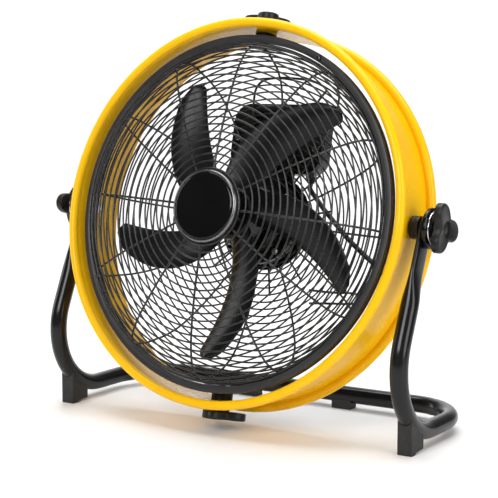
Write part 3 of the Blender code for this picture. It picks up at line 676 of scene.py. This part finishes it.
# Stand ----------------------------------------------------------------------
TUBE_R = 0.0112
LEG_FLAT = 0.0040
LEG_WIDE = 0.0142
FRONT_BEND, REAR_BEND = 0.0850, 0.0720
CORNER_AHEAD = 0.1106


def fillet(points, radii, steps=24):
    """Round the inner corners of a polyline."""
    path = [points[0]]
    for i, radius in enumerate(radii, start=1):
        into = (points[i - 1] - points[i]).normalized()
        away = (points[i + 1] - points[i]).normalized()
        angle = into.angle(away)
        start = points[i] + into * (radius / math.tan(angle / 2))
        centre = points[i] + (into + away).normalized() * (radius / math.sin(angle / 2))
        spoke = start - centre
        normal = into.cross(away).normalized()
        for k in range(steps + 1):
            turn = -(math.pi - angle) * k / steps
            path.append(centre + Matrix.Rotation(turn, 3, normal) @ spoke)
    path.append(points[-1])
    return path


def leg_section(distance):
    """Half thickness and half width of the leg at a distance below the pivot."""
    if distance < 0.0:
        wide = LEG_WIDE * math.sqrt(max(0.0, 1.0 - (distance / LEG_WIDE) ** 2))
        return LEG_FLAT * (1.0 if wide > 0.0060 else 0.80), max(wide, 0.0016)
    blend = min(1.0, max(0.0, (distance - 0.0520) / 0.0480))
    blend = blend * blend * (3.0 - 2.0 * blend)
    return LEG_FLAT + (TUBE_R - LEG_FLAT) * blend, LEG_WIDE + (TUBE_R - LEG_WIDE) * blend


def build_stand():
    """Bent tube from one pivot round the floor to the other, ends flattened."""
    low, high = local_box("stand_tube", STAND)
    leg_x = high.x - TUBE_R
    rail_z = low.z + TUBE_R
    rear_y = high.y - TUBE_R
    pivot = Vector((leg_x, 0.0, PIVOT_POINT.z))
    corner = Vector((leg_x, -CORNER_AHEAD, rail_z))
    up = (pivot - corner).normalized()
    marks = [-0.0142, -0.0140, -0.0135, -0.0125, -0.0110, -0.0090, -0.0065, -0.0035]
    marks += [0.0100 * k for k in range(5)] + [0.0460 + 0.0045 * k for k in range(13)]
    half = [pivot - up * d for d in marks]
    rear = Vector((leg_x, rear_y, rail_z))
    middle = Vector((0.0, rear_y, rail_z))
    half += fillet([half[-1], corner, rear, middle], [FRONT_BEND, REAR_BEND])[1:-1]
    path = [Vector((-p.x, p.y, p.z)) for p in half] + [middle] + half[::-1]
    count, sides = len(path), 32
    rows = []
    for i, (point, across, over) in enumerate(frames_along(path)):
        end = min(i, count - 1 - i)
        thick, wide = leg_section(marks[end] if end < len(marks) else 1.0)
        power = 2.0 / (2.0 + 1.4 * (TUBE_R - thick) / TUBE_R)
        row = []
        for k in range(sides):
            c, s = math.cos(math.tau * k / sides), math.sin(math.tau * k / sides)
            u = math.copysign(abs(c) ** power, c) * thick
            v = math.copysign(abs(s) ** power, s) * wide
            row.append(point + across * u + over * v)
        rows.append(row)
    bm = skin(bmesh.new(), rows, cap=True)
    piece("stand_bent_tube", bm, STAND, "stand_tube", crease=50.0)


# Knobs, pivots and swivel ---------------------------------------------------
PIN_BORE = 0.0040
KNOB_HOLLOW = 0.0165
KNOB_LOBE = 0.0165


def along_axis(node, frame_matrix, way, side, spot=Vector((0.0, 0.0, 0.0))):
    """Extent of a node along x, y or z of a frame, and its outer radius."""
    inverse = frame_matrix.inverted()
    heights, radii = [], []
    for v in NODES[node].data.vertices:
        p = inverse @ v.co - spot
        heights.append(side * p[way])
        q = [p[k] for k in range(3) if k != way]
        radii.append(math.hypot(q[0], q[1]))
    return min(heights), max(heights), max(radii)


def knob_radius(turn, lobe_turn):
    """Three-lobed outline with hollow flanks."""
    wave = 0.5 + 0.5 * math.cos(3.0 * (turn - lobe_turn))
    return KNOB_HOLLOW + KNOB_LOBE * wave ** 0.9


def clamp_knob(name, node, axis, frame_matrix, way, side, lobe_turn, neck):
    """Moulded three-lobed knob: neck, rounded lobes, dished face with a boss."""
    h0, top = along_axis(node, frame_matrix, way, side)[:2]
    low = h0 + neck
    count = 120
    turns = [math.tau * i / count for i in range(count)]

    def ring(r, h):
        return [axis(r, h, t) for t in turns]

    def lobes(inset, h):
        return [axis(knob_radius(t, lobe_turn) - inset, h, t) for t in turns]

    edge = 0.0024
    rows = [[axis(0.0, low + 0.0035, 0.0)], ring(PIN_BORE, low + 0.0035), ring(PIN_BORE, h0)]
    rows += [ring(0.0108, h0), ring(0.0115, h0 + 0.0007), ring(0.0115, low - 0.0006)]
    rows += [ring(0.0122, low), lobes(0.0016, low), lobes(0.0004, low + 0.0005)]
    rows += [lobes(0.0, low + 0.0014)]
    for k in range(7):
        turn = math.radians(90.0 * k / 6)
        rows.append(lobes(edge * (1.0 - math.cos(turn)), top - edge + edge * math.sin(turn)))
    rows += [lobes(0.0042, top - 0.0002), ring(0.0112, top - 0.0002), ring(0.0104, top - 0.0006)]
    rows += [ring(0.0098, top - 0.0030), ring(0.0060, top - 0.0030), ring(0.0055, top - 0.0022)]
    rows += [ring(0.0030, top - 0.0018), [axis(0.0, top - 0.0017, 0.0)]]
    bm = skin(bmesh.new(), rows)
    piece(name, bm, frame_matrix, node, crease=42.0)


def build_knobs():
    clamp_knob("tilt_knob_right_moulding", "tilt_knob_right", side_axis(1), DRUM, 0, 1, 0.0, 0.0045)
    clamp_knob("tilt_knob_left_moulding", "tilt_knob_left", side_axis(-1), DRUM, 0, -1, math.pi, 0.0045)
    clamp_knob("swivel_knob_top_moulding", "swivel_knob_top", upright_axis(1), DRUM, 2, 1,
               math.radians(-57.0), 0.0095)
    clamp_knob("swivel_knob_bottom_moulding", "swivel_knob_bottom", upright_axis(-1), DRUM, 2, -1,
               math.radians(33.0), 0.0095)


def turned(name, node, frame_matrix, way, side, shape, segments=64, ring=True, soft=0.0006):
    """Round piece turned about x, y or z; shape gives its (r, h) outline."""
    axis = (side_axis(side), lambda r, h, t: Vector((r * math.cos(t), side * h, r * math.sin(t))),
            upright_axis(side))[way]
    h0, h1, outer = along_axis(node, frame_matrix, way, side)
    profile = rounded(shape(h0, h1, outer), soft, 3, ring=ring)
    bm = lathe(bmesh.new(), profile, axis, segments, ring=ring)
    piece(name, bm, frame_matrix, node)


def build_pivots():
    """Bush, bolt, collar and washer on each side, and the swivel's parts."""
    def bush(h0, h1, outer):
        groove = (h0 + h1) / 2
        return [(PIN_BORE, h0), (outer, h0), (outer, groove - 0.0008), (outer - 0.0006, groove - 0.0004),
                (outer - 0.0006, groove + 0.0004), (outer, groove + 0.0008), (outer, h1), (PIN_BORE, h1)]

    def bolt(h0, h1, outer):
        shank = 0.0037
        return [(0.0, h0), (outer * 0.60, h0 + 0.0006), (outer, h0 + 0.0026), (outer, h0 + 0.0036),
                (shank, h0 + 0.0036), (shank, h1 - 0.0006), (shank - 0.0006, h1), (0.0, h1)]

    def collar(h0, h1, outer):
        return [(PIN_BORE, h0), (outer * 0.90, h0), (outer, h0 + 0.0022), (outer, h1 - 0.0020),
                (outer * 0.93, h1 - 0.0004), (outer * 0.84, h1 - 0.0004), (outer * 0.82, h1), (PIN_BORE, h1)]

    def washer(h0, h1, outer):
        return [(PIN_BORE, h0), (outer, h0), (outer, h1), (PIN_BORE, h1)]

    def block(h0, h1, outer):
        return [(PIN_BORE, h0), (outer, h0), (outer, h1 - 0.0004), (PIN_BORE, h1)]

    for label, side in (("left", -1), ("right", 1)):
        turned("pivot_spacer_" + label, "pivot_bush_" + label, DRUM, 0, side, bush)
        turned("pivot_carriage_bolt_" + label, "pivot_bolt_" + label, DRUM, 0, side, bolt, 48, ring=False)
        turned("pivot_thrust_collar_" + label, "pivot_collar_" + label, PIVOT, 0, side, collar, 96)
        turned("pivot_flat_washer_" + label, "pivot_washer_" + label, PIVOT, 0, side, washer, 96, soft=0.0004)
    for label, side in (("top", 1), ("bottom", -1)):
        turned("swivel_stand_off_" + label, "swivel_block_" + label, DRUM, 2, side, block, 64)
        turned("swivel_carriage_bolt_" + label, "swivel_bolt_" + label, DRUM, 2, side, bolt, 48, ring=False)


def soften(node, width, angle):
    """Small round-over on a frame piece's edges."""
    mod = NODES[node].modifiers.new("edges", 'BEVEL')
    mod.width = width
    mod.segments = 3
    mod.limit_method = 'ANGLE'
    mod.angle_limit = math.radians(angle)
    mod.harden_normals = True


# Motor ----------------------------------------------------------------------
RECESS_DEPTH = 0.6
RECESS_WIDTH = 0.24


def screw_head(bm, r, h0, rise, spot, sign, turn0, socket=0.0024):
    """Pan head with a cross recess; it stands h0 to h0 + rise along the fan axis.

    The recess is a share of the rise deep and a share of its reach, socket, wide.
    """
    steps, segments = 14, 48
    rows = [[Vector((0.0, -h0, 0.0))], [fan_axis(r, h0, math.tau * i / segments) for i in range(segments)]]
    for k in range(steps + 1):
        reach_r = r * (1.0 - k / steps) ** 0.85
        crown = rise * (0.55 + 0.45 * math.sqrt(max(0.0, 1.0 - (reach_r / r) ** 2)))
        if k == steps:
            rows.append([Vector((0.0, -(h0 + sign * (crown - rise * RECESS_DEPTH)), 0.0))])
            continue
        row = []
        for i in range(segments):
            turn = math.tau * i / segments
            x, z = abs(math.cos(turn + turn0)) * reach_r, abs(math.sin(turn + turn0)) * reach_r
            deep = min(x, z) < socket * RECESS_WIDTH and max(x, z) < socket
            height = crown - (rise * RECESS_DEPTH if deep else 0.0)
            row.append(fan_axis(reach_r, h0 + sign * height, turn))
        rows.append(row)
    rows = [[p + spot for p in row] for row in rows]
    return skin(bm, rows)


def shank_below(bm, r, h0, h1, spot):
    return lathe(bm, [(0.0, h0), (r, h0), (r, h1), (0.0, h1)], fan_axis, 24, spot=spot)


def spot_between(low, high):
    """Middle of a box across the fan axis, at the pivot's own depth."""
    return Vector(((low.x + high.x) / 2, 0.0, (low.z + high.z) / 2))


def build_screws():
    """Screws of the motor case, the mount and the control box."""
    for k in range(4):
        node = "case_screw_%d" % (k + 1)
        low, high = local_box(node, DRUM)
        bm = screw_head(bmesh.new(), (high.x - low.x) / 2, -high.y, high.y - low.y,
                        spot_between(low, high), 1.0, 0.4 * k)
        piece(node + "_head", bm, DRUM, node, crease=30.0)
    for k in range(3):
        node = "mount_screw_%d" % (k + 1)
        low, high = local_box(node, DRUM)
        spot = spot_between(low, high)
        bm = screw_head(bmesh.new(), (high.x - low.x) / 2, -high.y + 0.0028, 0.0028,
                        spot, -1.0, 0.3 + 0.5 * k)
        shank_below(bm, 0.0020, -high.y + 0.0029, -low.y, spot)
        piece(node + "_pan", bm, DRUM, node, crease=30.0)
    for label in ("left", "right"):
        node = "control_screw_" + label
        low, high = local_box(node, DRUM)
        spot = spot_between(low, high)
        bm = screw_head(bmesh.new(), (high.x - low.x) / 2, -low.y - 0.0027, 0.0027, spot, 1.0, 0.6)
        shank_below(bm, 0.0018, -low.y - 0.0028, -high.y, spot)
        piece(node + "_pan", bm, DRUM, node, crease=30.0)


def build_motor():
    """Flanged motor case with cooling ribs, end cover and mounting plate."""
    case = [(0.0113, -0.0100), (0.0160, -0.0100), (0.0180, -0.0112), (0.0370, -0.0112), (0.0395, -0.0104)]
    case += [(0.0440, -0.0140), (0.0450, -0.0200), (0.0450, -0.0345), (0.0565, -0.0345), (0.0575, -0.0355)]
    case += [(0.0575, -0.0420), (0.0568, -0.0426), (0.0568, -0.0446), (0.0575, -0.0452), (0.0575, -0.0520)]
    case += [(0.0550, -0.0520), (0.0550, -0.0370), (0.0425, -0.0370), (0.0425, -0.0165)]
    case += [(0.0150, -0.0165), (0.0150, -0.0190), (0.0113, -0.0190)]
    bm = lathe(bmesh.new(), rounded(case, 0.0012, 3, ring=True), fan_axis, 128, ring=True)
    for k in range(24):
        turn = math.tau * k / 24 + math.radians(4.0)
        path = [fan_axis(r, -0.0107, turn) for r in (0.0205, 0.0280, 0.0355)]
        tube(bm, path, 0.0010, 8, first=Vector((0.0, 1.0, 0.0)), taper=True)
    for k in range(40):
        turn = math.tau * k / 40
        path = [fan_axis(0.0451, a, turn) for a in (-0.0185, -0.0250, -0.0330)]
        tube(bm, path, 0.0007, 6, first=Vector((0.0, 0.0, 1.0)), taper=True)
    piece("motor_case", bm, DRUM, "motor_housing", crease=35.0)
    for node, width in (("motor_end_cover", 0.0004), ("motor_mount_plate", 0.0005), ("control_base", 0.0004)):
        soften(node, width, 40.0)


# Control box and lead -------------------------------------------------------
BOX_CORNER = 0.0240
LEAD_R = 0.0033
LEAD_BORE = 0.0036
MOUTH = Vector((0.0460, 0.0800, 0.0))
LEAD_END = (Vector((0.1640, 0.0525, -0.0420)), Vector((0.1960, 0.0270, -0.0580)))


def outline(x0, x1, z0, z1, radius, steps=12):
    """Rectangle in the fan's plane with rounded corners."""
    corners = [(x1 - radius, z1 - radius, 0), (x0 + radius, z1 - radius, 90)]
    corners += [(x0 + radius, z0 + radius, 180), (x1 - radius, z0 + radius, 270)]
    points = []
    for cx, cz, start in corners:
        for k in range(steps + 1):
            turn = math.radians(start + 90.0 * k / steps)
            points.append((cx + radius * math.cos(turn), cz + radius * math.sin(turn)))
    return points


def box_row(low, high, inset, radius, a):
    points = outline(low.x + inset, high.x - inset, low.z + inset, high.z - inset, max(0.002, radius - inset))
    return [Vector((x, -a, z)) for x, z in points]


def build_control():
    """Moulded control box with a seam lip, a raised dial plate and a dial."""
    low, high = local_box("control_box", DRUM)
    front, back = -low.y, -high.y
    rows = []
    for inset, a in ((0.0025, front - 0.0275), (0.0025, front - 0.0010), (0.0022, front)):
        rows.append(box_row(low, high, inset, BOX_CORNER, a))
    for inset, a in ((0.0006, front), (0.0, front - 0.0006), (0.0, front - 0.0030),
                     (0.0007, front - 0.0034)):
        rows.append(box_row(low, high, inset, BOX_CORNER, a))
    rows.append(box_row(low, high, 0.0007, BOX_CORNER, front - 0.0042))
    rows.append(box_row(low, high, 0.0002, BOX_CORNER, front - 0.0046))
    edge = 0.0070
    for k in range(9):
        turn = math.radians(90.0 * k / 8)
        inset = 0.0012 + edge * (1.0 - math.cos(turn))
        rows.append(box_row(low, high, inset, BOX_CORNER, back + edge - edge * math.sin(turn)))
    rows.append(box_row(low, high, 0.0130, BOX_CORNER, back))
    rows.append(box_row(low, high, 0.0134, BOX_CORNER, back + 0.0005))
    rows.append(box_row(low, high, 0.0146, BOX_CORNER, back + 0.0005))
    rows.append(box_row(low, high, 0.0150, BOX_CORNER, back))
    bm = skin(bmesh.new(), rows, cap=True)
    piece("control_box_moulding", bm, DRUM, "control_box", crease=32.0)
    build_dial()
    build_gland()


def build_dial():
    """Speed dial with a fluted edge and a pointer ridge."""
    low, high = local_box("speed_knob", DRUM)
    spot = spot_between(low, high)
    base, face = 0.0955, 0.1090
    count = 120

    def fluted(r, depth):
        return [r - depth * (0.5 + 0.5 * math.cos(20.0 * math.tau * i / count)) for i in range(count)]

    rows = []
    outlines = [(0.0043, 0.0, 0.1050), (0.0043, 0.0, base), (0.0152, 0.0, base), (0.0160, 0.0, 0.0962)]
    outlines += [(0.0160, 0.0, 0.0976), (0.0153, 0.0, 0.0982), (0.0153, 0.0009, 0.0990)]
    outlines += [(0.0145, 0.0009, 0.1070), (0.0138, 0.0006, 0.1084)]
    outlines += [(0.0128, 0.0, face), (0.0060, 0.0, face)]
    for r, depth, h in outlines:
        radii = fluted(r, depth)
        rows.append([Vector((radii[i] * math.cos(math.tau * i / count), h,
                             radii[i] * math.sin(math.tau * i / count))) for i in range(count)])
    rows.insert(0, [Vector((0.0, 0.1050, 0.0))])
    rows.append([Vector((0.0, face, 0.0))])
    rows = [[p + spot for p in row] for row in rows]
    bm = skin(bmesh.new(), rows)
    ridge = [spot + Vector((0.0, face + 0.0004, z)) for z in (0.0, 0.0060, 0.0118)]
    tube(bm, ridge, 0.0015, 12, first=Vector((1.0, 0.0, 0.0)), taper=True)
    piece("speed_dial", bm, DRUM, "speed_knob", crease=35.0)


def lead_centreline(steps):
    """Centreline of the supply lead, from the box to its end at the rim."""
    run = [MOUTH + Vector((0.0, 0.0, z)) for z in (0.0710, 0.0630, 0.0560, 0.0490)]
    run += [Vector((0.0580, 0.0740, 0.0395)), Vector((0.0750, 0.0700, 0.0240))]
    run += [Vector((0.0960, 0.0670, 0.0060)), Vector((0.1190, 0.0635, -0.0130))]
    run += [Vector((0.1420, 0.0595, -0.0290))]
    start, end = LEAD_END
    onward = (end - start).normalized()
    run += [start, start + onward * 0.0080, end]
    return catmull(run, steps), start, onward


def build_gland():
    """Strain relief, supply lead and the clip that ties it to the guard."""
    path, start, onward = lead_centreline(12)
    bm = tube(bmesh.new(), path, LEAD_R, 24, first=Vector((0.0, 1.0, 0.0)))
    piece("supply_lead_sheath", bm, DRUM, "supply_lead", crease=50.0)
    h0, h1, outer = along_axis("lead_gland", DRUM, 2, 1, MOUTH)
    profile = [(LEAD_BORE, h1), (outer, h1), (outer, h1 - 0.0022)]
    for k in range(4):
        top = h1 - 0.0026 - 0.0014 * k
        r = outer - 0.0006 - 0.0005 * k
        profile += [(r, top), (r, top - 0.0008), (r - 0.0007, top - 0.0009), (r - 0.0007, top - 0.0013)]
    profile += [(0.0050, h0 + 0.0001), (LEAD_BORE, h0)]
    bm = lathe(bmesh.new(), profile, upright_axis(1), 64, ring=True, spot=MOUTH)
    piece("lead_strain_relief", bm, DRUM, "lead_gland", crease=30.0)
    aim_x = Vector((1.0, 0.0, 0.0)).rotation_difference(onward).to_matrix().to_4x4()
    at_exit = DRUM @ Matrix.Translation(start) @ aim_x
    sleeve = [(LEAD_BORE, 0.0100), (0.0058, 0.0100), (0.0060, 0.0103)]
    for k in range(3):
        x = 0.0125 + 0.0045 * k
        sleeve += [(0.0060, x), (0.0054, x + 0.0004), (0.0054, x + 0.0014), (0.0060, x + 0.0018)]
    sleeve += [(0.0060, 0.0257), (0.0058, 0.0260), (LEAD_BORE, 0.0260)]
    bm = lathe(bmesh.new(), sleeve, side_axis(1), 48, ring=True)
    piece("lead_clip_sleeve", bm, at_exit, "lead_clamp", crease=30.0)


def build_small():
    """Band screw with its cross recess, and softened feet and brackets."""
    low, high = local_box("ring_clamp_screw", DRUM)
    bm = screw_head(bmesh.new(), 0.0034, -high.y, high.y - low.y,
                    spot_between(low, high), 1.0, 0.5, socket=0.0020)
    piece("band_screw_head", bm, DRUM, "ring_clamp_screw", crease=30.0)
    for node in ("front_foot_left", "front_foot_right", "rear_foot_left", "rear_foot_right"):
        soften(node, 0.0009, 35.0)
    for node in ("swivel_bracket_top", "swivel_bracket_bottom"):
        soften(node, 0.0004, 35.0)


dress_frame()
build_camera()
build_stage()
build_drum()
build_guards()
build_badge()
build_impeller()
build_stand()
build_knobs()
build_pivots()
build_motor()
build_screws()
build_control()
build_small()
